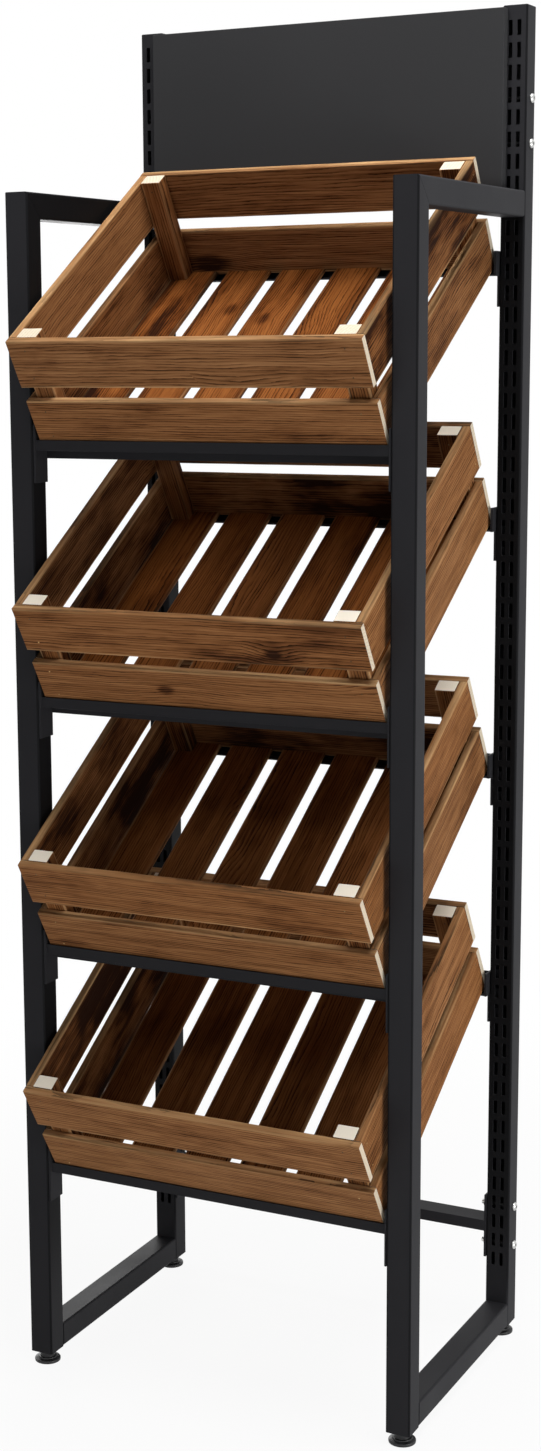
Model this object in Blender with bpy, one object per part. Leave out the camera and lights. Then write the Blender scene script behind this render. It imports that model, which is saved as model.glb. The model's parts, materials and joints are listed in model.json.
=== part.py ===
"""Tiered produce display stand: a steel tube frame that carries four tilted wooden crates.

Units are metres, +Z up. X is across the stand, +Y runs from the front to the back.
The origin lies on the floor, under the middle of the whole stand.
"""

import bpy
import bmesh
from math import cos, sin, tan, radians, pi, floor
from mathutils import Matrix, Vector

# Gap between pieces that seat on each other
CLEARANCE = 0.0003

# Steel tube frame
TUBE = 0.030
TUBE_WALL = 0.002
TUBE_END_PLATE = 0.003
STAND_WIDTH = 0.506
STAND_DEPTH = 0.358
FRONT_POST_HEIGHT = 1.4045
UPRIGHT_RISE = 0.2085

# Hook slots punched in the posts
SLOT_PITCH = 0.025
SLOT_LENGTH = 0.0175
SLOT_WIDTH = 0.005
SLOT_FIRST = 0.079
SLOT_TOP_MARGIN = 0.012
SLOT_INNER_COLUMN = 0.0095
SLOT_OUTER_COLUMN = 0.020

# Levelling feet
FOOT_DROP = 0.015
FOOT_DISC_RADIUS = 0.016
FOOT_DISC_THICK = 0.006
FOOT_HUB_RADIUS = 0.009
FOOT_STEM_RADIUS = 0.004
FOOT_STEM_REACH = 0.028

# Crates, spread over the slot rows from the bottom tier up to the top tier
TIER_COUNT = 4
BOTTOM_TIER_ROW = 5
TOP_TIER_DROP = 0.320
CRATE_TILT = radians(32.0)
CRATE_SIDE_GAP = 0.0065
CRATE_DEPTH = 0.384
BOARD_HEIGHT = 0.061
BOARD_GAP = 0.018
BOARD_THICK = 0.009
CORNER_WIDTH = 0.026
CORNER_DEPTH = 0.019
SLAT_COUNT = 6
SLAT_LAST_SHARE = 0.75
SLAT_GAP = 0.015
SLAT_THICK = 0.005
SLAT_SIDE_GAP = 0.002
NAILED_SINK = 0.0005

# Bars that carry a crate, hooked into the posts by their end plates
BAR_SHEET = 0.002
BAR_PLATE_THICK = 0.0027
PLATE_SETBACK = 0.0012
FRONT_BAR_SETBACK = 0.0037
FRONT_LEDGE_RISE = 0.0389
FRONT_LIP = 0.007
FRONT_SKIRT = 0.012
FRONT_BAR_FLANGE = 0.015
FRONT_PLATE_DROP = 0.0035
FRONT_PLATE_RISE = 0.018
REAR_STOP_GAP = 0.0005
REAR_LEDGE = 0.019
REAR_LEDGE_LEAST_RISE = 0.030
REAR_FLANGE = 0.027
REAR_PLATE_DROP = 0.007
REAR_PLATE_RIM = 0.0015
HOOK_COUNT = 3
HOOK_SIDE_GAP = 0.00125
HOOK_LIFT = 0.008
HOOK_DROP = 0.005
HOOK_BEHIND_WALL = 0.009

# Header panel, rear stretcher and the bolts that hold them
SHEET = 0.0015
HEADER_TOP_DROP = 0.0035
HEADER_RAIL_GAP = 0.001
HEADER_STANDOFF = 0.013
HEADER_OVERLAP = 0.0065
HEADER_BOLT_DROP = 0.129
STRETCHER_RISE = 0.129
STRETCHER_HEIGHT = 0.014
STRETCHER_SHEET = 0.002
TAB_THICK = 0.003
TAB_HEIGHT = 0.082
TAB_EDGE = 0.010
BOLT_SPACING = 0.051
BOLT_SETBACK = 0.017
BOLT_RADIUS = 0.003
BOLT_HEAD_RADIUS = 0.0055
BOLT_CROWN_RADIUS = 0.004
BOLT_HEAD_HEIGHT = 0.0035
BOLT_NUT_HEIGHT = 0.005

# How round pieces are made and shaded
ROUND_SIDES = 16
MERGE_DISTANCE = 0.00001
SHARP_ANGLE = radians(35.0)

# Finishes: colour, roughness and metallic value
BLACK_STEEL = ((0.022, 0.023, 0.026, 1.0), 0.45, 0.2)
BLACK_NYLON = ((0.015, 0.015, 0.016, 1.0), 0.5, 0.0)
ZINC = ((0.62, 0.62, 0.60, 1.0), 0.35, 1.0)
BURNT_WOOD = ((0.23, 0.115, 0.05, 1.0), 0.7, 0.0)

# Places worked out from the sizes above, with the front posts' front face at y = 0
half_width = STAND_WIDTH / 2
post_inner = half_width - TUBE
post_centre = half_width - TUBE / 2
upright_front = STAND_DEPTH - TUBE
post_bottom = FOOT_DROP
rail_top = post_bottom + FRONT_POST_HEIGHT
upright_top = rail_top + UPRIGHT_RISE
plate_outer = post_inner - CLEARANCE
plate_inner = plate_outer - BAR_PLATE_THICK
crate_half = post_inner - CRATE_SIDE_GAP
crate_height = 2 * BOARD_HEIGHT + BOARD_GAP
tilt_tan = tan(CRATE_TILT)
lip_back = FRONT_BAR_SETBACK + BAR_SHEET
crate_front = lip_back + FRONT_LIP * tilt_tan + CLEARANCE
crate_reach = crate_height * sin(CRATE_TILT) - crate_front
middle_y = (STAND_DEPTH - crate_reach) / 2


def slot_bottom(row):
    return post_bottom + SLOT_FIRST + row * SLOT_PITCH


def tier_rows():
    """Slot row of each tier's lowest front hook, from the bottom tier up."""
    top_row = floor((rail_top - TOP_TIER_DROP - slot_bottom(0)) / SLOT_PITCH)
    rise = top_row - BOTTOM_TIER_ROW
    return [BOTTOM_TIER_ROW + rise * tier // (TIER_COUNT - 1) for tier in range(TIER_COUNT)]


def add_material(name, finish):
    colour, roughness, metallic = finish
    material = bpy.data.materials.new(name)
    material.use_nodes = True
    shader = material.node_tree.nodes["Principled BSDF"]
    shader.inputs["Base Color"].default_value = colour
    shader.inputs["Roughness"].default_value = roughness
    shader.inputs["Metallic"].default_value = metallic
    return material


def add_object(name, shape, material=None):
    mesh = bpy.data.meshes.new(name)
    bmesh.ops.recalc_face_normals(shape, faces=shape.faces)
    shape.to_mesh(mesh)
    shape.free()
    piece = bpy.data.objects.new(name, mesh)
    bpy.context.collection.objects.link(piece)
    if material:
        mesh.materials.append(material)
    return piece


def add_box(shape, low, high):
    size = [high[i] - low[i] for i in range(3)]
    centre = [(high[i] + low[i]) / 2 for i in range(3)]
    fit = Matrix.Translation(centre) @ Matrix.Diagonal((*size, 1.0))
    bmesh.ops.create_cube(shape, size=1.0, matrix=fit)


def boxes(*corners):
    shape = bmesh.new()
    for low, high in corners:
        add_box(shape, low, high)
    return shape


def add_prism(shape, outline, travel):
    """Extrude a flat outline of 3-D points along the travel vector."""
    face = shape.faces.new([shape.verts.new(point) for point in outline])
    swept = bmesh.ops.extrude_face_region(shape, geom=[face])["geom"]
    moved = [item for item in swept if isinstance(item, bmesh.types.BMVert)]
    bmesh.ops.translate(shape, verts=moved, vec=travel)


def across(profile, half_length):
    """Extrude a (y, z) profile across the stand, between plus and minus half_length."""
    shape = bmesh.new()
    add_prism(shape, [(-half_length, y, z) for y, z in profile], (2 * half_length, 0, 0))
    return shape


def add_cylinder(shape, start, end, radius):
    axis = Vector(end) - Vector(start)
    turn = axis.to_track_quat("Z", "Y").to_matrix().to_4x4()
    fit = Matrix.Translation((Vector(start) + Vector(end)) / 2) @ turn
    bmesh.ops.create_cone(shape, cap_ends=True, segments=ROUND_SIDES, radius1=radius,
                          radius2=radius, depth=axis.length, matrix=fit)


def turned(profile):
    """Turn a (radius, height) profile about Z. Its first and last points lie on the axis."""
    shape = bmesh.new()
    ring = [shape.verts.new((radius, 0, height)) for radius, height in profile]
    edges = [shape.edges.new(pair) for pair in zip(ring, ring[1:])]
    bmesh.ops.spin(shape, geom=ring + edges, axis=(0, 0, 1), cent=(0, 0, 0), angle=2 * pi,
                   steps=ROUND_SIDES, use_duplicate=False)
    bmesh.ops.remove_doubles(shape, verts=shape.verts, dist=MERGE_DISTANCE)
    return shape


def combine(piece, shape, operation):
    """Cut a closed shape out of a piece, or weld it on, and keep the result."""
    tool = add_object(piece.name + "_tool", shape)
    modifier = piece.modifiers.new(operation.title(), "BOOLEAN")
    modifier.operation = operation
    modifier.solver = "EXACT"
    modifier.object = tool
    graph = bpy.context.evaluated_depsgraph_get()
    result = bpy.data.meshes.new_from_object(piece.evaluated_get(graph))
    old = piece.data
    piece.modifiers.clear()
    piece.data = result
    result.name = piece.name
    bpy.data.meshes.remove(old)
    bpy.data.objects.remove(tool)


def place(piece, location, tilt=0.0):
    piece.location = location
    piece.rotation_euler = (tilt, 0.0, 0.0)


def side_name(side):
    return "right" if side > 0 else "left"


def x_span(side, near, far):
    """Two x values, nearest and farthest from the middle, in rising order on one side."""
    return sorted((side * near, side * far))


def inner_slots(side, y_face, rows):
    """Cutters for the hook slots in the inner face of a post."""
    low_x, high_x = x_span(side, post_inner - TUBE_WALL, post_inner + 2 * TUBE_WALL)
    centre_y = y_face + SLOT_INNER_COLUMN
    low_y = centre_y - SLOT_WIDTH / 2
    high_y = centre_y + SLOT_WIDTH / 2
    return [((low_x, low_y, slot_bottom(row)), (high_x, high_y, slot_bottom(row) + SLOT_LENGTH))
            for row in rows]


def hook_rows(first_rows):
    return [row + step for row in first_rows for step in range(HOOK_COUNT)]


def cut_foot_hole(piece, side, centre_y):
    shape = bmesh.new()
    low = (side * post_centre, centre_y, post_bottom - TUBE_END_PLATE)
    high = (side * post_centre, centre_y, post_bottom + 2 * TUBE_END_PLATE)
    add_cylinder(shape, low, high, FOOT_STEM_RADIUS + CLEARANCE)
    combine(piece, shape, "DIFFERENCE")


def mitred(low_x, high_x, low_y, high_y, bottom, corner, drop):
    """Upright block whose top slopes down at 45 degrees from the front, below a corner height."""
    top_front = corner - low_y - drop
    top_back = corner - high_y - drop
    outline = [(low_x, low_y, bottom), (low_x, high_y, bottom), (low_x, high_y, top_back),
               (low_x, low_y, top_front)]
    shape = bmesh.new()
    add_prism(shape, outline, (high_x - low_x, 0, 0))
    return shape


def build_front_post(side, material):
    low_x, high_x = x_span(side, post_inner, half_width)
    post = add_object("front_post_" + side_name(side),
                      mitred(low_x, high_x, 0, TUBE, post_bottom, rail_top, 0), material)
    cavity = mitred(low_x + TUBE_WALL, high_x - TUBE_WALL, TUBE_WALL, TUBE - TUBE_WALL,
                    post_bottom + TUBE_END_PLATE, rail_top, -TUBE)
    combine(post, cavity, "DIFFERENCE")
    combine(post, boxes(*inner_slots(side, 0, hook_rows(tier_rows()))), "DIFFERENCE")
    cut_foot_hole(post, side, TUBE / 2)
    return post


def build_top_rail(side, material):
    """Rail from the mitred top of the front post back to the upright."""
    low_x, high_x = x_span(side, post_inner, half_width)
    top = rail_top
    back = upright_front - CLEARANCE
    outline = [(low_x, 2 * CLEARANCE, top), (low_x, TUBE + 2 * CLEARANCE, top - TUBE),
               (low_x, back, top - TUBE), (low_x, back, top)]
    shape = bmesh.new()
    add_prism(shape, outline, (high_x - low_x, 0, 0))
    rail = add_object("top_rail_" + side_name(side), shape, material)
    bore = boxes(((low_x + TUBE_WALL, -TUBE, top - TUBE + TUBE_WALL),
                  (high_x - TUBE_WALL, STAND_DEPTH, top - TUBE_WALL)))
    combine(rail, bore, "DIFFERENCE")
    return rail


def build_bottom_rail(side, material):
    low_x, high_x = x_span(side, post_inner, half_width)
    front = TUBE + CLEARANCE
    back = upright_front - CLEARANCE
    rail = add_object("bottom_rail_" + side_name(side),
                      boxes(((low_x, front, post_bottom), (high_x, back, post_bottom + TUBE))),
                      material)
    bore = boxes(((low_x + TUBE_WALL, 0, post_bottom + TUBE_WALL),
                  (high_x - TUBE_WALL, STAND_DEPTH, post_bottom + TUBE - TUBE_WALL)))
    combine(rail, bore, "DIFFERENCE")
    return rail


def bolt_heights():
    header = upright_top - HEADER_BOLT_DROP
    stretcher = post_bottom + STRETCHER_RISE
    return {"header": (header - BOLT_SPACING / 2, header + BOLT_SPACING / 2),
            "stretcher": (stretcher - BOLT_SPACING / 2, stretcher + BOLT_SPACING / 2)}


def bolt_holes(side, heights, near, far):
    """Cutters for bolt holes that run across the stand, from near to far of its middle."""
    shape = bmesh.new()
    y = upright_front + BOLT_SETBACK
    for z in heights:
        add_cylinder(shape, (side * near, y, z), (side * far, y, z), BOLT_RADIUS + CLEARANCE)
    return shape


def build_upright(side, rear_rows, material):
    low_x, high_x = x_span(side, post_inner, half_width)
    top = upright_top
    upright = add_object("rear_upright_" + side_name(side),
                         boxes(((low_x, upright_front, post_bottom), (high_x, STAND_DEPTH, top))),
                         material)
    combine(upright, boxes(((low_x + TUBE_WALL, upright_front + TUBE_WALL, post_bottom + TUBE_END_PLATE),
                            (high_x - TUBE_WALL, STAND_DEPTH - TUBE_WALL, top - TUBE_END_PLATE))),
            "DIFFERENCE")
    usable = top - slot_bottom(0) - SLOT_LENGTH - SLOT_TOP_MARGIN
    rows = floor(usable / SLOT_PITCH) + 1
    slots = []
    for column in (SLOT_INNER_COLUMN, SLOT_OUTER_COLUMN):
        edge = post_inner + column
        slot_low, slot_high = x_span(side, edge - SLOT_WIDTH / 2, edge + SLOT_WIDTH / 2)
        for row in range(rows):
            bottom = slot_bottom(row)
            slots.append(((slot_low, upright_front - TUBE_WALL, bottom),
                          (slot_high, upright_front + 2 * TUBE_WALL, bottom + SLOT_LENGTH)))
    combine(upright, boxes(*slots), "DIFFERENCE")
    combine(upright, boxes(*inner_slots(side, upright_front, hook_rows(rear_rows))), "DIFFERENCE")
    heights = bolt_heights()
    holes = bolt_holes(side, heights["header"] + heights["stretcher"],
                       post_inner - TUBE_WALL, half_width + TUBE_WALL)
    combine(upright, holes, "DIFFERENCE")
    cut_foot_hole(upright, side, upright_front + TUBE / 2)
    return upright


def build_foot(name, side, centre_y, material):
    """Disc, hub and threaded stem of a levelling foot, standing on the floor."""
    hub_top = FOOT_DROP - CLEARANCE
    shape = turned([(0, 0), (FOOT_DISC_RADIUS, 0), (FOOT_DISC_RADIUS, FOOT_DISC_THICK / 2),
                    (FOOT_HUB_RADIUS, FOOT_DISC_THICK), (FOOT_HUB_RADIUS, hub_top),
                    (FOOT_STEM_RADIUS, hub_top), (FOOT_STEM_RADIUS, FOOT_DROP + FOOT_STEM_REACH),
                    (0, FOOT_DROP + FOOT_STEM_REACH)])
    foot = add_object(name, shape, material)
    foot.data.shade_smooth()
    foot.data.set_sharp_from_angle(angle=SHARP_ANGLE)
    place(foot, (side * post_centre, centre_y - middle_y, 0))
    return foot


def add_hooks(bar, y_face, row):
    """Weld the hooks of one bar's two end plates: a neck through the slot and a drop behind it."""
    shape = bmesh.new()
    y = y_face + SLOT_INNER_COLUMN
    half_thick = SLOT_WIDTH / 2 - HOOK_SIDE_GAP
    wall_back = post_inner + TUBE_WALL + CLEARANCE
    tip = post_inner + TUBE_WALL + HOOK_BEHIND_WALL
    root = plate_inner + BAR_PLATE_THICK / 2
    for step in range(HOOK_COUNT):
        seat = slot_bottom(row + step) + CLEARANCE
        neck_top = slot_bottom(row + step) + SLOT_LENGTH - HOOK_LIFT
        for side in (-1, 1):
            profile = [(root, seat), (wall_back, seat), (wall_back, seat - HOOK_DROP),
                       (tip, seat - HOOK_DROP), (tip, neck_top), (root, neck_top)]
            outline = [(side * x, y - half_thick, z) for x, z in profile]
            add_prism(shape, outline, (0, 2 * half_thick, 0))
    bmesh.ops.recalc_face_normals(shape, faces=shape.faces)
    combine(bar, shape, "UNION")


def end_plates(outline):
    """The two end plates of a bar, from one (y, z) outline."""
    shape = bmesh.new()
    for side in (-1, 1):
        points = [(side * plate_inner, y, z) for y, z in outline]
        add_prism(shape, points, (side * BAR_PLATE_THICK, 0, 0))
    bmesh.ops.recalc_face_normals(shape, faces=shape.faces)
    return shape


def front_ledge(row):
    return slot_bottom(row) + FRONT_LEDGE_RISE


def build_front_bar(tier, row, material):
    """Folded bar with a low lip that stops the crate, a ledge under it and a rear flange."""
    ledge = front_ledge(row)
    front = FRONT_BAR_SETBACK
    back = TUBE - PLATE_SETBACK
    lip = ledge + FRONT_LIP
    skirt = lip - FRONT_SKIRT
    flange = ledge - FRONT_BAR_FLANGE
    sheet = BAR_SHEET
    profile = [(front, lip), (front + sheet, lip), (front + sheet, ledge), (back, ledge),
               (back, flange), (back - sheet, flange), (back - sheet, ledge - sheet),
               (front + sheet, ledge - sheet), (front + sheet, skirt), (front, skirt)]
    bar = add_object("front_bar_%d" % tier, across(profile, plate_inner + BAR_PLATE_THICK / 2),
                     material)
    low = slot_bottom(row) - FRONT_PLATE_DROP
    high = lip + FRONT_PLATE_RISE
    edge = PLATE_SETBACK
    plates = end_plates([(edge, low), (TUBE - edge, low), (TUBE - edge, high), (edge, high)])
    combine(bar, plates, "UNION")
    add_hooks(bar, 0, row)
    return bar


def crate_base(row):
    """Lower front edge of a tier's crate, where it sits on the front bar's ledge."""
    return crate_front, front_ledge(row) + CLEARANCE


def rear_ledge(row):
    """Back stop face and ledge height of the bar under a crate's rear edge."""
    base_y, base_z = crate_base(row)
    stop = base_y + CRATE_DEPTH * cos(CRATE_TILT) + REAR_STOP_GAP
    under_crate = base_z + (stop - REAR_LEDGE - base_y) * tilt_tan
    return stop, under_crate - CLEARANCE / cos(CRATE_TILT)


def rear_row(row):
    """Slot row of the lowest rear hook, at least a set height under the rear ledge."""
    rise = rear_ledge(row)[1] - slot_bottom(row) - REAR_LEDGE_LEAST_RISE
    return row + floor(rise / SLOT_PITCH)


def build_rear_bar(tier, row, material):
    """Angle bar with a ledge under the crate and a flange behind it, between eared end plates."""
    stop, ledge = rear_ledge(row)
    front = stop - REAR_LEDGE
    back = stop + BAR_SHEET
    under = ledge - BAR_SHEET
    flange = under + REAR_FLANGE
    profile = [(front, under), (back, under), (back, flange), (stop, flange), (stop, ledge),
               (front, ledge)]
    bar = add_object("rear_bar_%d" % tier, across(profile, plate_inner + BAR_PLATE_THICK / 2),
                     material)
    low = slot_bottom(rear_row(row)) - REAR_PLATE_DROP
    high = flange + REAR_PLATE_RIM
    edge = upright_front + PLATE_SETBACK
    far = STAND_DEPTH - PLATE_SETBACK
    ear = min(front, edge) - CLEARANCE
    plates = end_plates([(edge, low), (far, low), (far, high), (ear, high),
                         (ear, under - CLEARANCE), (edge, under - CLEARANCE)])
    combine(bar, plates, "UNION")
    add_hooks(bar, upright_front, rear_row(row))
    return bar


def bolted_tabs(middle, front, back):
    """Two end tabs against the uprights' inner faces, at one height."""
    low = middle - TAB_HEIGHT / 2
    high = middle + TAB_HEIGHT / 2
    shape = bmesh.new()
    for side in (-1, 1):
        low_x, high_x = x_span(side, plate_outer - TAB_THICK, plate_outer)
        add_box(shape, (low_x, front, low), (high_x, back, high))
    return shape


def cut_tab_holes(piece, heights):
    for side in (-1, 1):
        holes = bolt_holes(side, heights, plate_outer - 2 * TAB_THICK, post_inner + TUBE_WALL)
        combine(piece, holes, "DIFFERENCE")


def build_header(material):
    """Folded panel across the top of the uprights, with four returned edges and bolted tabs."""
    top = upright_top - HEADER_TOP_DROP
    bottom = rail_top + HEADER_RAIL_GAP
    half = post_inner + HEADER_OVERLAP
    front = upright_front - HEADER_STANDOFF
    back = upright_front - CLEARANCE
    header = add_object("header_panel", boxes(((-half, front, bottom), (half, back, top))), material)
    hollow = boxes(((-half + SHEET, front + SHEET, bottom + SHEET),
                    (half - SHEET, STAND_DEPTH, top - SHEET)))
    combine(header, hollow, "DIFFERENCE")
    middle = upright_top - HEADER_BOLT_DROP
    tab_back = upright_front + BOLT_SETBACK + TAB_EDGE
    combine(header, bolted_tabs(middle, front + SHEET / 2, tab_back), "UNION")
    cut_tab_holes(header, bolt_heights()["header"])
    return header


def build_stretcher(material):
    """Low channel between the uprights, open underneath, welded to two bolted end tabs."""
    middle = post_bottom + STRETCHER_RISE
    top = middle + STRETCHER_HEIGHT / 2
    bottom = middle - STRETCHER_HEIGHT / 2
    front = upright_front
    back = STAND_DEPTH
    sheet = STRETCHER_SHEET
    profile = [(front, bottom), (front, top), (back, top), (back, bottom), (back - sheet, bottom),
               (back - sheet, top - sheet), (front + sheet, top - sheet), (front + sheet, bottom)]
    stretcher = add_object("rear_stretcher", across(profile, plate_outer - TAB_THICK / 2), material)
    tab_back = upright_front + BOLT_SETBACK + TAB_EDGE
    combine(stretcher, bolted_tabs(middle, upright_front, tab_back), "UNION")
    cut_tab_holes(stretcher, bolt_heights()["stretcher"])
    return stretcher


def build_bolt(name, side, height, material):
    """Bolt through an upright with its nut on the inner end, turned about its own axis."""
    head_face = half_width + CLEARANCE
    nut_face = plate_outer - TAB_THICK - CLEARANCE
    length = head_face - nut_face
    shape = turned([(0, -BOLT_NUT_HEIGHT), (BOLT_HEAD_RADIUS, -BOLT_NUT_HEIGHT), (BOLT_HEAD_RADIUS, 0),
                    (BOLT_RADIUS, 0), (BOLT_RADIUS, length), (BOLT_HEAD_RADIUS, length),
                    (BOLT_CROWN_RADIUS, length + BOLT_HEAD_HEIGHT),
                    (0, length + BOLT_HEAD_HEIGHT)])
    bmesh.ops.rotate(shape, verts=shape.verts, cent=(0, 0, 0),
                     matrix=Matrix.Rotation(side * pi / 2, 3, "Y"))
    bolt = add_object(name, shape, material)
    bolt.data.shade_smooth()
    bolt.data.set_sharp_from_angle(angle=SHARP_ANGLE)
    place(bolt, (side * nut_face, upright_front + BOLT_SETBACK - middle_y, height))
    return bolt


def build_crate(tier, row, material):
    """Seven nailed pieces of one crate, in the crate's own frame: x across, y up the slope."""
    prefix = "crate_%d_" % tier
    upper = BOARD_HEIGHT + BOARD_GAP
    depth = CRATE_DEPTH
    thick = BOARD_THICK
    floor_half = crate_half - thick - SLAT_SIDE_GAP
    slats_wide = SLAT_COUNT - 1 + SLAT_LAST_SHARE
    slat_width = (2 * floor_half - (SLAT_COUNT - 1) * SLAT_GAP) / slats_wide
    pieces = []

    end_boards = boxes(((-crate_half, 0, 0), (crate_half, thick, BOARD_HEIGHT)),
                       ((-crate_half, depth - thick, 0), (crate_half, depth, BOARD_HEIGHT)))
    slats = []
    for index in range(SLAT_COUNT):
        left = -floor_half + index * (slat_width + SLAT_GAP)
        right = min(left + slat_width, floor_half)
        slats.append(((left, thick - NAILED_SINK, 0), (right, depth - thick + NAILED_SINK, SLAT_THICK)))
    base = add_object(prefix + "base", boxes(*slats), material)
    combine(base, end_boards, "UNION")
    pieces.append(base)

    for name, near, far, inward in (("front_panel", 0, thick, 1), ("rear_panel", depth - thick, depth, -1)):
        panel = add_object(prefix + name,
                           boxes(((-crate_half, near, upper), (crate_half, far, crate_height))), material)
        inner = far if inward > 0 else near
        low_y, high_y = sorted((inner - inward * NAILED_SINK, inner + inward * CORNER_DEPTH))
        clear_y, end_y = sorted((inner + inward * CLEARANCE, inner + inward * CORNER_DEPTH))
        corners = bmesh.new()
        legs = bmesh.new()
        for side in (-1, 1):
            low_x, high_x = x_span(side, crate_half - thick - CLEARANCE - CORNER_WIDTH,
                                   crate_half - thick - CLEARANCE)
            add_box(corners, (low_x, low_y, upper), (high_x, high_y, crate_height))
            add_box(legs, (low_x, clear_y, SLAT_THICK + CLEARANCE), (high_x, end_y, upper + NAILED_SINK))
        combine(panel, corners, "UNION")
        combine(panel, legs, "UNION")
        pieces.append(panel)

    for side in (-1, 1):
        low_x, high_x = x_span(side, crate_half - thick, crate_half)
        for name, bottom in (("lower", 0), ("upper", upper)):
            board = boxes(((low_x, thick + CLEARANCE, bottom),
                           (high_x, depth - thick - CLEARANCE, bottom + BOARD_HEIGHT)))
            pieces.append(add_object(prefix + side_name(side) + "_" + name, board, material))

    base_y, base_z = crate_base(row)
    for piece in pieces:
        place(piece, (0, base_y - middle_y, base_z), CRATE_TILT)


def main():
    for old in list(bpy.data.objects):
        bpy.data.objects.remove(old)
    steel = add_material("black_steel", BLACK_STEEL)
    nylon = add_material("foot_nylon", BLACK_NYLON)
    zinc = add_material("zinc_bolt", ZINC)
    wood = add_material("burnt_wood", BURNT_WOOD)

    fixed = []
    rear_rows = [rear_row(row) for row in tier_rows()]
    for side in (-1, 1):
        fixed.append(build_front_post(side, steel))
        fixed.append(build_top_rail(side, steel))
        fixed.append(build_bottom_rail(side, steel))
        fixed.append(build_upright(side, rear_rows, steel))
    for index, row in enumerate(tier_rows()):
        fixed.append(build_front_bar(index + 1, row, steel))
        fixed.append(build_rear_bar(index + 1, row, steel))
    fixed.append(build_header(steel))
    fixed.append(build_stretcher(steel))
    for piece in fixed:
        place(piece, (0, -middle_y, 0))

    for side in (-1, 1):
        build_foot("foot_front_" + side_name(side), side, TUBE / 2, nylon)
        build_foot("foot_rear_" + side_name(side), side, upright_front + TUBE / 2, nylon)
        for group, heights in bolt_heights().items():
            for level, height in zip(("lower", "upper"), heights):
                name = "bolt_%s_%s_%s" % (group, side_name(side), level)
                build_bolt(name, side, height, zinc)
    for index, row in enumerate(tier_rows()):
        build_crate(index + 1, row, wood)


main()
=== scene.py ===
import json
import math
import random

import bmesh
import bpy
import numpy as np
from mathutils import Matrix, Vector


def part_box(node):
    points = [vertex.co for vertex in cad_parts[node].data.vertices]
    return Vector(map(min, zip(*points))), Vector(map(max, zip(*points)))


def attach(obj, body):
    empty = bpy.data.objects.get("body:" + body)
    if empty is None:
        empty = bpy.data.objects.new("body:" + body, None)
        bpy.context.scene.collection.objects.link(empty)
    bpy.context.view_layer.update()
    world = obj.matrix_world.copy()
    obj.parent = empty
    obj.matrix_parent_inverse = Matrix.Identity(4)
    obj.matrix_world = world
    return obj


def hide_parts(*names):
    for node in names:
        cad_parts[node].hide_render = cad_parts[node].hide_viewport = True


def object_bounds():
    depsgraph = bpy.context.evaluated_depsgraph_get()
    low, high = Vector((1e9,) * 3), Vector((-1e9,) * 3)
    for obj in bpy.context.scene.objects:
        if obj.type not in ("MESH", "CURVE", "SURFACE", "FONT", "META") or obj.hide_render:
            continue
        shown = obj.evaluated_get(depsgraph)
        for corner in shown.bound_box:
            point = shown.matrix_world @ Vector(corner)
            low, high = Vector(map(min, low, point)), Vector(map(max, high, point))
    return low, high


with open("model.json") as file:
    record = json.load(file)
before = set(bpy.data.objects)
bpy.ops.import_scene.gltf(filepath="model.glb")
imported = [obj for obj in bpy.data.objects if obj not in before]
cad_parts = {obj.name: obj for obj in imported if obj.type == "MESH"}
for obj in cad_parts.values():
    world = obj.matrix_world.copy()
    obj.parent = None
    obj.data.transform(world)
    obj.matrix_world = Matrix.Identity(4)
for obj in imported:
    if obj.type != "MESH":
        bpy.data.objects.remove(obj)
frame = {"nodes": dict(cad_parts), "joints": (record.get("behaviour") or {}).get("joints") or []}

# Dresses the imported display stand: powder-coated tube, scorched crates, zinc bolts, nylon feet.
cadLow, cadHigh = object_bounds()
random.seed(41)

camera = {
    "place": (1.1495, -2.3749, 1.2534),
    "view": (-0.45824405, 0.87200369, -0.17211029),
    "up": (-0.07139491, 0.15690024, 0.9850305),
    "lens": 55.774,
    "sensor": 36.0,
    "shift": (0.05554, 0.00416),
}

studio = {
    "floorSize": 14.0,
    "floorDrop": 0.0002,
    "floorColour": (0.86, 0.86, 0.86, 1.0),
    "floorRoughness": 0.9,
    "floorGlow": 0.93,
    "glowFade": (0.55, 1.7),
    "skyLight": 0.03,
    "lamps": {
        "topBox": {"place": (0.6, -0.4, 3.2), "aim": (0.4, -0.4, 0.0), "size": (1.8, 1.8), "watts": 80.0,
                   "spread": 180.0},
        "topFront": {"place": (-0.4, -2.3, 2.7), "aim": (0.0, 0.1, 1.52), "size": (0.6, 0.6), "watts": 1.0,
                     "spread": 40.0},
        "keyRight": {"place": (2.8, -0.6, 0.35), "aim": (0.0, 0.0, 0.8), "size": (1.4, 0.7), "watts": 39.0,
                     "spread": 180.0},
        "lowFront": {"place": (0.2, -1.5, 0.05), "aim": (0.0, 0.0, 1.6), "size": (2.4, 0.8), "watts": 9.0,
                     "spread": 180.0},
        "rearFill": {"place": (-1.7, 2.0, 1.0), "aim": (0.0, 0.2, 0.8), "size": (1.6, 1.2), "watts": 32.0,
                     "spread": 180.0},
    },
}


# How near counts as the same: a place in metres, an edge along an axis, a face square to one
tiny = 1e-5
alongAxis = 0.999
squareOn = 0.9


# Working by hand: what is selected, what is edited, what is applied
def deselectAll():
    if bpy.context.object and bpy.context.object.mode != "OBJECT":
        bpy.ops.object.mode_set(mode="OBJECT")
    bpy.ops.object.select_all(action="DESELECT")


def takeUp(piece):
    deselectAll()
    piece.select_set(True)
    bpy.context.view_layer.objects.active = piece


def settle(piece):  # its place goes into its mesh
    takeUp(piece)
    bpy.ops.object.transform_apply(location=True, rotation=True, scale=True)


def named(piece, name):
    piece.name = name
    piece.data.name = name
    return piece


def addBlock(name, low, high):
    low, high = Vector(low), Vector(high)
    deselectAll()
    bpy.ops.mesh.primitive_cube_add(size=1, location=(low + high) / 2)
    block = named(bpy.context.object, name)
    block.scale = high - low
    settle(block)
    return block


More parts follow.
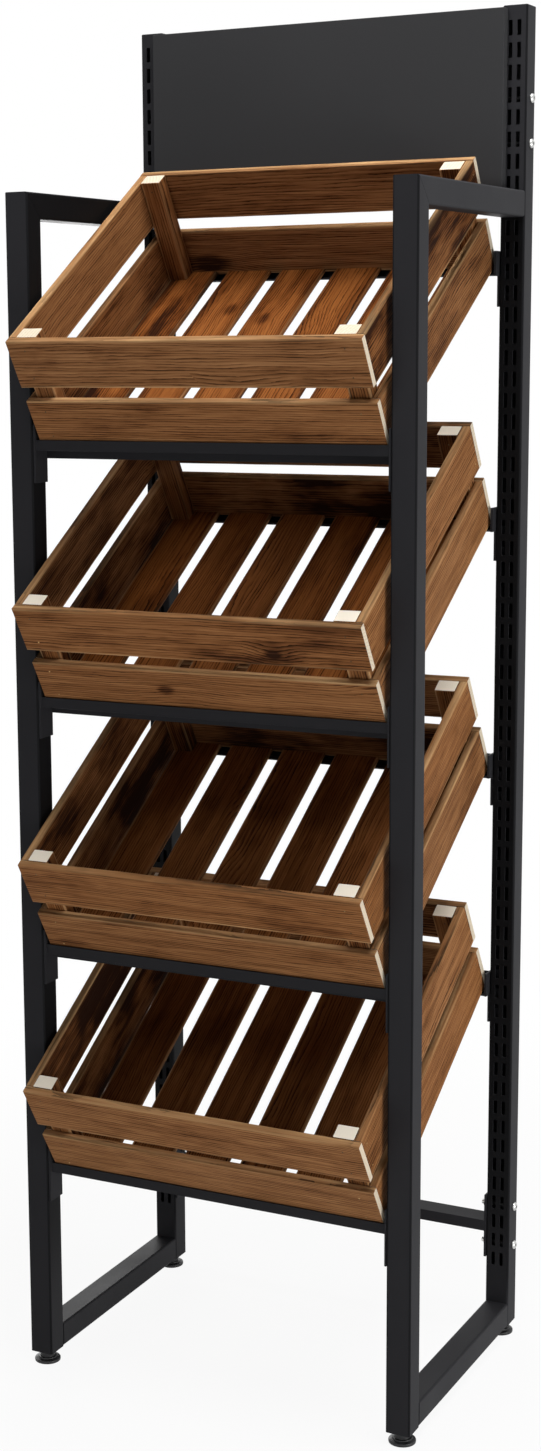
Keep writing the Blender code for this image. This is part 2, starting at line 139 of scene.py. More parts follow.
def pick(piece, kind, test):  # edit mode, with only what passes the test selected
    takeUp(piece)
    bpy.ops.object.mode_set(mode="EDIT")
    bpy.ops.mesh.select_mode(type=kind)
    bpy.ops.mesh.select_all(action="DESELECT")
    shape = bmesh.from_edit_mesh(piece.data)
    items = {"EDGE": shape.edges, "FACE": shape.faces}[kind]
    for item in [found for found in items if test(found)]:
        item.select_set(True)
    bmesh.update_edit_mesh(piece.data)


def pickAll(piece):
    pick(piece, "FACE", lambda face: True)


def stopEditing():
    bpy.ops.object.mode_set(mode="OBJECT")


def runsAlong(axis):
    def test(edge):
        return abs((edge.verts[0].co - edge.verts[1].co).normalized()[axis]) > alongAxis
    return test


def facesAlong(axis):
    return lambda face: abs(face.normal[axis]) > squareOn


def applied(piece, kind, **settings):
    takeUp(piece)
    bpy.ops.object.modifier_add(type=kind)
    modifier = piece.modifiers[-1]
    for key, value in settings.items():
        setattr(modifier, key, value)
    bpy.ops.object.modifier_apply(modifier=modifier.name)


def cutWith(piece, cutter):
    applied(piece, "BOOLEAN", operation="DIFFERENCE", solver="EXACT", object=cutter)
    bpy.data.objects.remove(cutter)


def joined(pieces):
    deselectAll()
    for piece in pieces:
        piece.select_set(True)
    bpy.context.view_layer.objects.active = pieces[0]
    bpy.ops.object.join()
    return bpy.context.object


def copyOf(piece, name):
    twin = bpy.data.objects.new(name, piece.data.copy())
    twin.data.name = name
    bpy.context.collection.objects.link(twin)
    return twin


def smoothed(piece, degrees):
    takeUp(piece)
    bpy.ops.object.shade_smooth_by_angle(angle=math.radians(degrees))
    applied(piece, "WEIGHTED_NORMAL", keep_sharp=True, weight=50)


def dressed(piece, body, slot, *nodes):  # hands a finished piece to the frame
    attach(piece, body)
    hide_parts(*nodes)


# Nodes of a material, added and wired one at a time
def startMaterial(name):
    material = bpy.data.materials.new(name)
    material.use_nodes = True
    tree = material.node_tree
    return material, tree, tree.nodes["Principled BSDF"]


def feed(tree, node, inputs):  # an input takes a wire or a plain value
    for key, value in inputs.items():
        if isinstance(value, bpy.types.NodeSocket):
            tree.links.new(value, node.inputs[key])
        else:
            node.inputs[key].default_value = value


def addNode(tree, kind, inputs=None, **settings):
    node = tree.nodes.new(kind)
    for key, value in settings.items():
        setattr(node, key, value)
    feed(tree, node, inputs or {})
    return node


def mathNode(tree, operation, first, second=0.0):
    return addNode(tree, "ShaderNodeMath", {0: first, 1: second}, operation=operation).outputs[0]


def times(tree, first, second):
    return mathNode(tree, "MULTIPLY", first, second)


def summed(tree, first, *others):
    total = first
    for value in others:
        total = mathNode(tree, "ADD", total, value)
    return total


def rampNode(tree, value, stops):
    node = addNode(tree, "ShaderNodeValToRGB", {"Fac": value})
    elements = node.color_ramp.elements
    while len(elements) < len(stops):
        elements.new(0.5)
    for element, (place, colour) in zip(elements, stops):
        element.position = place
        element.color = (*colour, 1.0)
    return node.outputs["Color"]


def mapRange(tree, value, fromLow, fromHigh, toLow=0.0, toHigh=1.0, smooth=False):
    limits = {"From Min": fromLow, "From Max": fromHigh, "To Min": toLow, "To Max": toHigh}
    interpolation = "SMOOTHSTEP" if smooth else "LINEAR"
    node = addNode(tree, "ShaderNodeMapRange", {"Value": value, **limits}, interpolation_type=interpolation)
    return node.outputs["Result"]


def objectPlace(tree):
    return addNode(tree, "ShaderNodeTexCoord").outputs["Object"]


def layerValue(tree, name):  # a number stored on the mesh
    return addNode(tree, "ShaderNodeAttribute", attribute_name=name).outputs["Fac"]


def layerVector(tree, name):
    return addNode(tree, "ShaderNodeAttribute", attribute_name=name).outputs["Vector"]


def stretched(tree, vector, stretch):
    return addNode(tree, "ShaderNodeMapping", {"Vector": vector, "Scale": stretch}).outputs["Vector"]


def lengthOf(tree, vector):
    return addNode(tree, "ShaderNodeVectorMath", {0: vector}, operation="LENGTH").outputs["Value"]


def addNoise(tree, vector, stretch, detail=2.0, roughness=0.5):
    mapped = stretched(tree, vector, stretch)
    inputs = {"Vector": mapped, "Scale": 1.0, "Detail": detail, "Roughness": roughness}
    return addNode(tree, "ShaderNodeTexNoise", inputs).outputs["Fac"]


def addBump(tree, shader, height, strength, distance):
    bump = addNode(tree, "ShaderNodeBump", {"Height": height, "Strength": strength, "Distance": distance})
    feed(tree, shader, {"Normal": bump.outputs["Normal"]})


def mixColour(tree, blend, share, first, second):
    inputs = {0: share, 6: first, 7: second}
    return addNode(tree, "ShaderNodeMix", inputs, data_type="RGBA", blend_type=blend).outputs[2]


def inSight(tree):  # 1 where the eye looks, straight, by a reflection or through glass
    path = addNode(tree, "ShaderNodeLightPath").outputs
    seen = mathNode(tree, "MAXIMUM", path["Is Camera Ray"], path["Is Glossy Ray"])
    return mathNode(tree, "MAXIMUM", seen, path["Is Transmission Ray"])


# A colour has four numbers, and so has a range: the span that is read and the span that it becomes
powderCoat = {
    "tube": {"colour": (0.0212, 0.0211, 0.0236, 1.0), "dusty": (0.0274, 0.0273, 0.0300, 1.0)},
    # painted light: the panel's coat is lighter than the tube's, for the brighter light on the header
    "panel": {"colour": (0.0370, 0.0372, 0.0390, 1.0), "dusty": (0.0420, 0.0422, 0.0440, 1.0)},
    # painted reflection: the dark line down a post's rounded front corners
    "corner": (0.009, 0.009, 0.010, 1.0),
    # painted shade: the dark coat on inward faces and on an upright's front below the top rail, lessened
    # towards the floor
    "shaded": (0.0066, 0.0066, 0.0072, 1.0),
    "shadedByHeight": (0.05, 0.21, 0.15, 1.0),
    "cloud": {"stretch": (7.0, 7.0, 4.0), "detail": 4.0, "roughness": 0.6},
    "peel": {"stretch": (900.0, 900.0, 900.0)},
    "bump": (0.10, 0.0004),
    "roughness": (0.3, 0.7, 0.42, 0.54),
    "specular": 0.04,
}


def makePowderCoat(name, tones):
    look = powderCoat
    material, tree, shader = startMaterial(name)
    place = objectPlace(tree)
    cloud = addNoise(tree, place, **look["cloud"])
    height = addNode(tree, "ShaderNodeSeparateXYZ", {0: place}).outputs["Z"]
    byHeight = mapRange(tree, height, *look["shadedByHeight"], smooth=True)
    # painted shade, lessened towards the floor
    shade = times(tree, layerValue(tree, "shaded"), byHeight)
    tint = mixColour(tree, "MIX", cloud, tones["colour"], tones["dusty"])
    tint = mixColour(tree, "MIX", shade, tint, look["shaded"])
    # painted reflection on the posts' front corners
    tint = mixColour(tree, "MIX", layerValue(tree, "corner"), tint, look["corner"])
    roughness = mapRange(tree, cloud, *look["roughness"])
    feed(tree, shader, {"Base Color": tint, "Roughness": roughness, "Specular IOR Level": look["specular"]})
    addBump(tree, shader, addNoise(tree, place, **look["peel"]), *look["bump"])
    return material


nylon = {
    "colour": (0.010, 0.010, 0.011, 1.0),
    "worn": (0.022, 0.022, 0.023, 1.0),
    "wornFrom": (0.45, 0.75),
    "scuff": {"stretch": (90.0, 90.0, 260.0), "detail": 3.0, "roughness": 0.6},
    "grain": {"stretch": (1400.0, 1400.0, 1400.0), "detail": 3.0, "roughness": 0.6},
    "bump": (0.12, 0.0003),
    "roughness": (0.3, 0.7, 0.38, 0.55),
    "specular": 0.35,
}


def makeNylon():
    look = nylon
    material, tree, shader = startMaterial("footNylon")
    place = objectPlace(tree)
    scuff = addNoise(tree, place, **look["scuff"])
    tint = mixColour(tree, "MIX", mapRange(tree, scuff, *look["wornFrom"]), look["colour"], look["worn"])
    roughness = mapRange(tree, scuff, *look["roughness"])
    feed(tree, shader, {"Base Color": tint, "Roughness": roughness, "Specular IOR Level": look["specular"]})
    addBump(tree, shader, addNoise(tree, place, **look["grain"]), *look["bump"])
    return material


zinc = {
    "colour": (0.66, 0.66, 0.64, 1.0),
    "dull": (0.42, 0.43, 0.43, 1.0),
    "dullFrom": (0.4, 0.75),
    "cloud": {"stretch": (320.0, 320.0, 320.0), "detail": 4.0, "roughness": 0.6},
    "roughness": (0.3, 0.7, 0.20, 0.38),
}


def makeZinc():
    material, tree, shader = startMaterial("zincPlate")
    cloud = addNoise(tree, objectPlace(tree), **zinc["cloud"])
    tint = mixColour(tree, "MIX", mapRange(tree, cloud, *zinc["dullFrom"]), zinc["colour"], zinc["dull"])
    roughness = mapRange(tree, cloud, *zinc["roughness"])
    feed(tree, shader, {"Base Color": tint, "Roughness": roughness, "Metallic": 1.0})
    return material


brass = {
    "colour": (0.52, 0.34, 0.15, 1.0),
    "dark": (0.10, 0.06, 0.03, 1.0),
    "darkFrom": (0.35, 0.50),
    "cloud": {"stretch": (60.0, 60.0, 60.0)},
    "roughness": 0.32,
}


def makeBrass():
    material, tree, shader = startMaterial("nailBrass")
    cloud = addNoise(tree, objectPlace(tree), **brass["cloud"])
    tint = mixColour(tree, "MIX", mapRange(tree, cloud, *brass["darkFrom"]), brass["colour"], brass["dark"])
    feed(tree, shader, {"Base Color": tint, "Roughness": brass["roughness"], "Metallic": 1.0})
    return material


# Growth rings, seen along the boards and on their sawn ends
acrossGrain = (0.0, 1.0, 1.0)
lateWoodPower = 3.0


def lateWood(tree, radius, spacing):  # dark at the end of each ring
    turns = mathNode(tree, "DIVIDE", radius, spacing)
    return mathNode(tree, "POWER", mathNode(tree, "FRACT", turns), lateWoodPower)


scorchedWood = {
    "depths": [(0.0, (0.400, 0.195, 0.082)), (0.36, (0.262, 0.115, 0.043)), (0.70, (0.128, 0.050, 0.018)),
               (1.0, (0.028, 0.011, 0.006))],
    "hues": [(0.0, (0.665, 0.475, 0.268)), (0.2, (0.665, 0.475, 0.268)), (0.4, (0.905, 0.816, 0.700)),
             (1.0, (0.880, 0.930, 1.000))],
    "rim": (0.560, 0.345, 0.165, 1.0),
    "knotSpread": (4.2, 11.0, 11.0),
    "knotRarity": 0.66,
    "knotNear": (0.42, 0.05),
    "knotCore": (0.17, 0.06),
    "eyeStretch": (0.62, 1.0, 0.0),
    "eyeNear": (0.034, 0.003, 0.0, 0.45),
    "eyeCore": (0.0115, 0.0030, 0.0, 0.95),
    "ringSpacing": 0.0031,
    "drift": {"stretch": (2.6, 14.0, 14.0)},
    "ripple": {"stretch": (22.0, 110.0, 110.0), "detail": 3.0, "roughness": 0.6},
    "driftReach": 0.016,
    "rippleReach": 0.0040,
    "knotReach": 0.012,
    "broken": {"stretch": (15.0, 210.0, 210.0)},
    "fibre": {"stretch": (16.0, 620.0, 620.0), "detail": 3.0, "roughness": 0.6},
    "streak": {"stretch": (3.0, 150.0, 150.0), "roughness": 0.55},
    "scorch": {"stretch": (8.0, 20.0, 20.0), "detail": 3.0, "roughness": 0.6},
    "patch": {"stretch": (9.0, 9.0, 9.0)},
    "brokenShare": (0.32, 0.58, 0.15, 1.0),
    "lineDepth": 0.80,
    "fibreDepth": (0.30, 0.70, -0.06, 0.34),
    "streakDepth": (0.32, 0.68, -0.06, 0.20),
    "scorchDepth": (0.52, 0.80, 0.0, 0.45),
    "smokeAndShadePatches": (0.38, 0.62, 0.0, 2.0),
    "nearDepth": 0.10,
    "coreDepth": 0.55,
    "slatByTone": (0.10, 0.35, 1.0, 0.0),
    "slatEdgeDepth": (0.40, 1.0, -0.10, 0.34),
    "wornByStreak": (0.30, 0.62, 0.90, 0.14),
    "wornByPatch": (0.35, 0.65, 0.45, 1.2),
    "wornBySlat": (0.0, 1.0, 1.0, 0.12),
    "roughness": (0.2, 0.9, 0.56, 0.72),
    "bump": (0.55, 0.0008),
    "specular": 0.04,
}


def addKnots(tree, grain):  # a few cells' centres, and the eye that a board may have of its own
    look = scorchedWood
    cells = {"Vector": stretched(tree, grain, look["knotSpread"]), "Scale": 1.0}
    knot = addNode(tree, "ShaderNodeTexVoronoi", cells, voronoi_dimensions="3D").outputs
    chance = addNode(tree, "ShaderNodeSeparateColor", {"Color": knot["Color"]}).outputs[0]
    chosen = mathNode(tree, "GREATER_THAN", chance, look["knotRarity"])
    near = times(tree, mapRange(tree, knot["Distance"], *look["knotNear"], smooth=True), chosen)
    core = times(tree, mapRange(tree, knot["Distance"], *look["knotCore"], smooth=True), chosen)
    fromEye = lengthOf(tree, stretched(tree, layerVector(tree, "eye"), look["eyeStretch"]))
    near = mathNode(tree, "MAXIMUM", near, mapRange(tree, fromEye, *look["eyeNear"], smooth=True))
    core = mathNode(tree, "MAXIMUM", core, mapRange(tree, fromEye, *look["eyeCore"], smooth=True))
    return near, core


def makeScorchedWood():
    look = scorchedWood
    material, tree, shader = startMaterial("scorchedWood")
    grain = layerVector(tree, "grain")
    tone = layerValue(tree, "tone")
    near, core = addKnots(tree, grain)

    # Growth rings about the pith, which wander along the board and bow round the knots
    pith = lengthOf(tree, stretched(tree, grain, acrossGrain))
    drift = addNoise(tree, grain, **look["drift"])
    ripple = addNoise(tree, grain, **look["ripple"])
    radius = summed(tree, pith, times(tree, drift, look["driftReach"]),
                    times(tree, ripple, look["rippleReach"]), times(tree, near, look["knotReach"]))
    broken = addNoise(tree, grain, **look["broken"])
    unbroken = mapRange(tree, broken, *look["brokenShare"])
    lines = times(tree, lateWood(tree, radius, look["ringSpacing"]), unbroken)

    # Fine fibres, long streaks, and smoky patches, which on some boards are painted shade and on a few
    # painted light
    fibre = addNoise(tree, grain, **look["fibre"])
    streak = addNoise(tree, grain, **look["streak"])
    scorch = addNoise(tree, grain, **look["scorch"])
    smokeAndShade = times(tree, layerValue(tree, "smokeAndShade"), mapRange(tree, scorch, *look["smokeAndShadePatches"]))

    # Warm-toned boards, the floor slats, are scorched deepest along their edges
    slat = mapRange(tree, tone, *look["slatByTone"])
    fromMiddle = mathNode(tree, "ABSOLUTE", layerValue(tree, "spread"))
    edgeward = mapRange(tree, fromMiddle, *look["slatEdgeDepth"], smooth=True)
    depth = summed(tree, times(tree, lines, look["lineDepth"]), mapRange(tree, fibre, *look["fibreDepth"]),
                   mapRange(tree, streak, *look["streakDepth"]), mapRange(tree, scorch, *look["scorchDepth"]),
                   smokeAndShade, times(tree, near, look["nearDepth"]), times(tree, core, look["coreDepth"]),
                   times(tree, slat, edgeward))
    colour = rampNode(tree, depth, look["depths"])
    colour = mixColour(tree, "MULTIPLY", 1.0, colour, rampNode(tree, tone, look["hues"]))

    # Edges worn pale in places, least on the slats
    patch = addNoise(tree, grain, **look["patch"])
    worn = times(tree, layerValue(tree, "rim"), mapRange(tree, streak, *look["wornByStreak"]))
    worn = times(tree, worn, mapRange(tree, patch, *look["wornByPatch"]))
    worn = times(tree, worn, mapRange(tree, slat, *look["wornBySlat"]))
    colour = mixColour(tree, "MIX", worn, colour, look["rim"])

    roughness = mapRange(tree, depth, *look["roughness"])
    feed(tree, shader, {"Base Color": colour, "Roughness": roughness, "Specular IOR Level": look["specular"]})
    addBump(tree, shader, mathNode(tree, "SUBTRACT", 1.0, depth), *look["bump"])
    return material


paleEnd = {
    "depths": [(0.0, (0.75, 0.66, 0.52)), (1.0, (0.56, 0.44, 0.30))],
    # painted light: a paler colour for the cut ends of the lower crates' corner posts
    "paintedEndLight": (0.96, 0.88, 0.74, 1.0),
    "paintedEndLightShare": 0.9,
    "ringSpacing": 0.0040,
    "ringDepth": 0.55,
    "pores": {"stretch": (700.0, 700.0, 700.0)},
    "poreDepth": (0.35, 0.7, 0.0, 0.4),
    "bump": (0.2, 0.0004),
    "roughness": 0.75,
    "specular": 0.25,
}


def makePaleEnd():
    look = paleEnd
    material, tree, shader = startMaterial("paleEndGrain")
    grain = layerVector(tree, "grain")
    pores = addNoise(tree, grain, **look["pores"])
    ring = lateWood(tree, lengthOf(tree, stretched(tree, grain, acrossGrain)), look["ringSpacing"])
    depth = summed(tree, times(tree, ring, look["ringDepth"]), mapRange(tree, pores, *look["poreDepth"]))
    # painted light on the lower crates' corner-post ends
    paintedEndLight = times(tree, layerValue(tree, "paintedEndLight"), look["paintedEndLightShare"])
    colour = mixColour(tree, "MIX", paintedEndLight, rampNode(tree, depth, look["depths"]), look["paintedEndLight"])
    feed(tree, shader, {"Base Color": colour, "Roughness": look["roughness"],
                        "Specular IOR Level": look["specular"]})
    addBump(tree, shader, pores, *look["bump"])
    return material


blackSteel = makePowderCoat("blackPowderCoat", powderCoat["tube"])
# painted light: the header's lighter coat
litPanelSteel = makePowderCoat("litPanelPowderCoat", powderCoat["panel"])
footNylon = makeNylon()
zincPlate = makeZinc()
nailBrass = makeBrass()
burntWood = makeScorchedWood()
cutEnd = makePaleEnd()
print("materials made")

# Square tube of the frame
tube = {
    "corner": 0.0026,
    "cornerSteps": 4,
    "easeSteps": 2,
    "cornerReflectionReach": 0.75,
    "shadeTurn": 0.7,
    "smoothAngle": 35.0,
    "wall": 0.002,
    "capRound": 0.0010,
    "slotLength": 0.0175,
    "slotWidth": 0.005,
    "slotRound": 0.0011,
    "slotPitch": 0.025,
    "slotFirst": 0.079,
    "slotColumns": (0.0095, 0.020),
    "slotMargin": 0.012,
    "hookCount": 3,
    "frontHookDrop": 0.0047,
    "rearHookDrop": 0.007,
    "plugThick": 0.003,
}
sides = {"left": -1, "right": 1}
inwards = {"left": Vector((1, 0, 0)), "right": Vector((-1, 0, 0))}
tiers = range(1, 5)


def markCornerReflection(piece, low, high, bottom):  # painted reflection: the coat is coloured darkest down the middle of a post's rounded front corners
    reach = tube["cornerReflectionReach"] * tube["corner"]
    corner = piece.data.attributes.new("corner", "FLOAT", "POINT")
    for vert, mark in zip(piece.data.vertices, corner.data):
        inset = min(vert.co.x - low.x, high.x - vert.co.x) + vert.co.y - low.y
        mark.value = 1.0 if inset < reach and vert.co.z >= bottom else 0.0


def makeTube(name, low, high, axis, closedTop=False):
    piece = addBlock(name, low, high)
    pick(piece, "EDGE", runsAlong(axis))
    bpy.ops.mesh.bevel(offset=tube["corner"], segments=tube["cornerSteps"], affect="EDGES")
    stopEditing()
    if closedTop:
        pick(piece, "EDGE", lambda edge: min(vert.co[axis] for vert in edge.verts) > high[axis] - tiny)
        bpy.ops.mesh.bevel(offset=tube["capRound"], segments=tube["easeSteps"], affect="EDGES")
        pick(piece, "FACE", lambda face: face.normal[axis] < -squareOn)
    else:
        pick(piece, "FACE", facesAlong(axis))
    bpy.ops.mesh.delete(type="FACE")
    stopEditing()
    return piece


def mitred(piece, point, normal):  # what lies past the plane is cut away
    pickAll(piece)
    bpy.ops.mesh.bisect(plane_co=point, plane_no=normal, clear_outer=True, use_fill=False)
    stopEditing()


def addSlotCutter(first, widthAxis, depthAxis, rows):
    size = Vector((0, 0, tube["slotLength"]))
    size[widthAxis] = tube["slotWidth"]
    size[depthAxis] = 3 * tube["wall"]  # half of it lies inwards of the face, past the wall
    cutter = addBlock("slotCutter", first - size / 2, first + size / 2)
    pick(cutter, "EDGE", runsAlong(depthAxis))
    bpy.ops.mesh.bevel(offset=tube["slotRound"], segments=tube["easeSteps"], affect="EDGES")
    stopEditing()
    applied(cutter, "ARRAY", count=rows, use_relative_offset=False, use_constant_offset=True,
            constant_offset_displace=(0, 0, tube["slotPitch"]))
    return cutter


def cutHookSlots(piece, side, low, high, bars, hookDrop):  # only where a bar's hooks go in
    innerFace = high.x if side < 0 else low.x
    cutters = []
    for bar in bars:
        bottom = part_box(bar)[0].z + hookDrop
        first = Vector((innerFace, low.y + tube["slotColumns"][0], bottom + tube["slotLength"] / 2))
        cutters.append(addSlotCutter(first, 1, 0, tube["hookCount"]))
    cutWith(piece, joined(cutters))


def cutFrontSlots(piece, side, low, high):
    innerFace = high.x if side < 0 else low.x
    usable = high.z - low.z - tube["slotFirst"] - tube["slotLength"] - tube["slotMargin"]
    rows = int(usable / tube["slotPitch"]) + 1
    cutters = []
    for column in tube["slotColumns"]:
        first = Vector((innerFace + side * column, low.y, low.z + tube["slotFirst"] + tube["slotLength"] / 2))
        cutters.append(addSlotCutter(first, 0, 1, rows))
    cutWith(piece, joined(cutters))


def makePlug(low, high):  # plate inside the lower end of a post, which takes the foot's stem
    inset = Vector((tube["wall"], tube["wall"], 0))
    top = Vector((high.x, high.y, low.z + tube["plugThick"]))
    plug = addBlock("endPlug", low + inset, top - inset)
    pick(plug, "EDGE", runsAlong(2))
    bpy.ops.mesh.bevel(offset=tube["corner"] - tube["wall"] / 2, segments=tube["easeSteps"], affect="EDGES")
    stopEditing()
    return plug


def finishTube(piece, node, shadedSides=(), shadeTop=math.inf):  # painted shade: the given sides are coloured darker, below the given height
    shaded = piece.data.attributes.new("shaded", "FLOAT", "FACE")
    for face, mark in zip(piece.data.polygons, shaded.data):
        inShade = any(face.normal.dot(outward) > tube["shadeTurn"] for outward in shadedSides)
        mark.value = 1.0 if inShade and face.center.z < shadeTop else 0.0
    piece.data.materials.clear()
    piece.data.materials.append(blackSteel)
    smoothed(piece, tube["smoothAngle"])
    dressed(piece, "stand", "black_steel", node)


def walled(piece):
    applied(piece, "SOLIDIFY", thickness=tube["wall"], offset=-1.0, use_even_offset=True)


def makeFrontPost(sideName):
    node = "front_post_" + sideName
    low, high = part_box(node)
    post = makeTube(sideName + "FrontPost", low, high, 2)
    markCornerReflection(post, low, high, low.z - tube["wall"])
    mitred(post, (0, low.y, high.z), (0, 1, 1))
    walled(post)
    bars = ["front_bar_%d" % tier for tier in tiers]
    cutHookSlots(post, sides[sideName], low, high, bars, tube["frontHookDrop"])
    # painted shade on the post's inner side
    finishTube(joined([post, makePlug(low, high)]), node, [inwards[sideName]])


def makeUpright(sideName):
    node = "rear_upright_" + sideName
    low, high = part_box(node)
    post = makeTube(sideName + "Upright", low, high, 2, closedTop=True)
    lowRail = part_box("bottom_rail_" + sideName)[1].z
    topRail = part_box("top_rail_" + sideName)[1].z
    slotBottom = low.z + tube["slotFirst"] - tube["slotMargin"]
    for level in (lowRail, slotBottom, topRail):
        pickAll(post)
        bpy.ops.mesh.bisect(plane_co=(0, 0, level), plane_no=(0, 0, 1))
        stopEditing()
    markCornerReflection(post, low, high, slotBottom - tube["wall"])
    walled(post)
    cutFrontSlots(post, sides[sideName], low, high)
    bars = ["rear_bar_%d" % tier for tier in tiers]
    cutHookSlots(post, sides[sideName], low, high, bars, tube["rearHookDrop"])
    # painted shade on the inner side, and on the front below the top rail
    shadedSides = [inwards[sideName], Vector((0, -1, 0))]
    finishTube(joined([post, makePlug(low, high)]), node, shadedSides, topRail)


def makeRails(sideName):
    node = "top_rail_" + sideName
    low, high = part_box(node)
    rail = makeTube(sideName + "TopRail", low, high, 1)
    mitred(rail, (0, low.y, high.z), (0, -1, -1))
    walled(rail)
    # painted shade on the top rail's inner side
    finishTube(rail, node, [inwards[sideName]])
    node = "bottom_rail_" + sideName
    rail = makeTube(sideName + "BottomRail", *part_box(node), 1)
    walled(rail)
    finishTube(rail, node)


for sideName in sides:
    makeFrontPost(sideName)
    makeUpright(sideName)
    makeRails(sideName)
print("tube frame made")

# Folded sheet: bars, header and stretcher, with eased edges
sheetMetal = {
    "merge": 0.00001,
    "flatAngle": 1.0,
    "edge": 0.0006,
    "headerEdge": 0.0012,
    "edgeSteps": 2,
    "edgeAngle": 40.0,
    "smoothAngle": 35.0,
}


def makeFolded(node, name, edge, coat):
    piece = copyOf(frame["nodes"][node], name)
    pickAll(piece)
    bpy.ops.mesh.remove_doubles(threshold=sheetMetal["merge"])
    bpy.ops.mesh.dissolve_limited(angle_limit=math.radians(sheetMetal["flatAngle"]))
    stopEditing()
    applied(piece, "BEVEL", width=edge, segments=sheetMetal["edgeSteps"], limit_method="ANGLE",
            angle_limit=math.radians(sheetMetal["edgeAngle"]), use_clamp_overlap=True)
    piece.data.materials.clear()
    piece.data.materials.append(coat)
    smoothed(piece, sheetMetal["smoothAngle"])
    dressed(piece, "stand", "black_steel", node)


for tier in tiers:
    makeFolded("front_bar_%d" % tier, "frontBar%d" % tier, sheetMetal["edge"], blackSteel)
    makeFolded("rear_bar_%d" % tier, "rearBar%d" % tier, sheetMetal["edge"], blackSteel)
makeFolded("header_panel", "headerPanel", sheetMetal["headerEdge"], litPanelSteel)
makeFolded("rear_stretcher", "rearStretcher", sheetMetal["edge"], blackSteel)
print("bars and panels made")


# Turned pieces start as a disc, which is extruded up and scaled step by step
def makeTurned(name, profile, steps):
    deselectAll()
    bpy.ops.mesh.primitive_circle_add(vertices=steps, radius=profile[0][0], fill_type="NGON",
                                      location=(0, 0, profile[0][1]))
    piece = named(bpy.context.object, name)
    settle(piece)
    pickAll(piece)
    for (radius, height), (nextRadius, nextHeight) in zip(profile, profile[1:]):
        bpy.ops.mesh.extrude_region_move(TRANSFORM_OT_translate={"value": (0, 0, nextHeight - height)})
        if nextRadius != radius:
            share = nextRadius / radius
            bpy.ops.transform.resize(value=(share, share, 1), center_override=(0, 0, 0))
    bpy.ops.mesh.select_all(action="SELECT")
    bpy.ops.mesh.normals_make_consistent(inside=False)
    stopEditing()
    return piece


foot = {
    "disc": [(0.0146, 0.0), (0.0158, 0.0006), (0.0160, 0.0014), (0.0160, 0.0032), (0.0155, 0.0040),
             (0.0122, 0.0049), (0.0116, 0.0055), (0.0114, 0.0064), (0.0092, 0.0068), (0.0090, 0.0076),
             (0.0090, 0.0138), (0.0083, 0.0146)],
    "stemRadius": 0.004,
    "threadPitch": 0.00125,
    "threadDepth": 0.0005,
    "threadFlank": 0.25,
    "sides": 40,
    "smoothAngle": 40.0,
}


def makeFeet():
    low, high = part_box("foot_front_left")
    height = high.z - low.z
    profile = list(foot["disc"])
    stemBottom = profile[-1][1]
    stem, pitch, flank = foot["stemRadius"], foot["threadPitch"], foot["threadFlank"]
    profile.append((stem, stemBottom))
    for turn in range(int((height - stemBottom) / pitch)):
        level = stemBottom + turn * pitch
        profile.append((stem - foot["threadDepth"], level + flank * pitch))
        profile.append((stem, level + (1 - flank) * pitch))
    profile.append((stem, height))
    master = makeTurned("footMaster", profile, foot["sides"])
    master.data.materials.append(footNylon)
    smoothed(master, foot["smoothAngle"])
    for place in ("front_left", "front_right", "rear_left", "rear_right"):
        node = "foot_" + place
        low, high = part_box(node)
        twin = copyOf(master, "levellingFoot_" + place)
        twin.location = ((low.x + high.x) / 2, (low.y + high.y) / 2, low.z)
        settle(twin)
        dressed(twin, node, "foot_nylon", node)
    bpy.data.objects.remove(master)


bolt = {
    "head": [(0.0055, 0.0), (0.0055, 0.0009), (0.0053, 0.0016), (0.0047, 0.0024), (0.0038, 0.0031),
             (0.0029, 0.0035)],
    "socket": 0.0021,
    "socketDepth": 0.0020,
    "shank": 0.003,
    "tip": 0.003,
    "tipEase": 0.0006,
    "nutCorner": 0.0054,
    "nutHeight": 0.005,
    "nutEase": 0.0006,
    "easeSteps": 2,
    "shadeFrom": 0.0005,
    "sides": 32,
    "smoothAngle": 30.0,
}


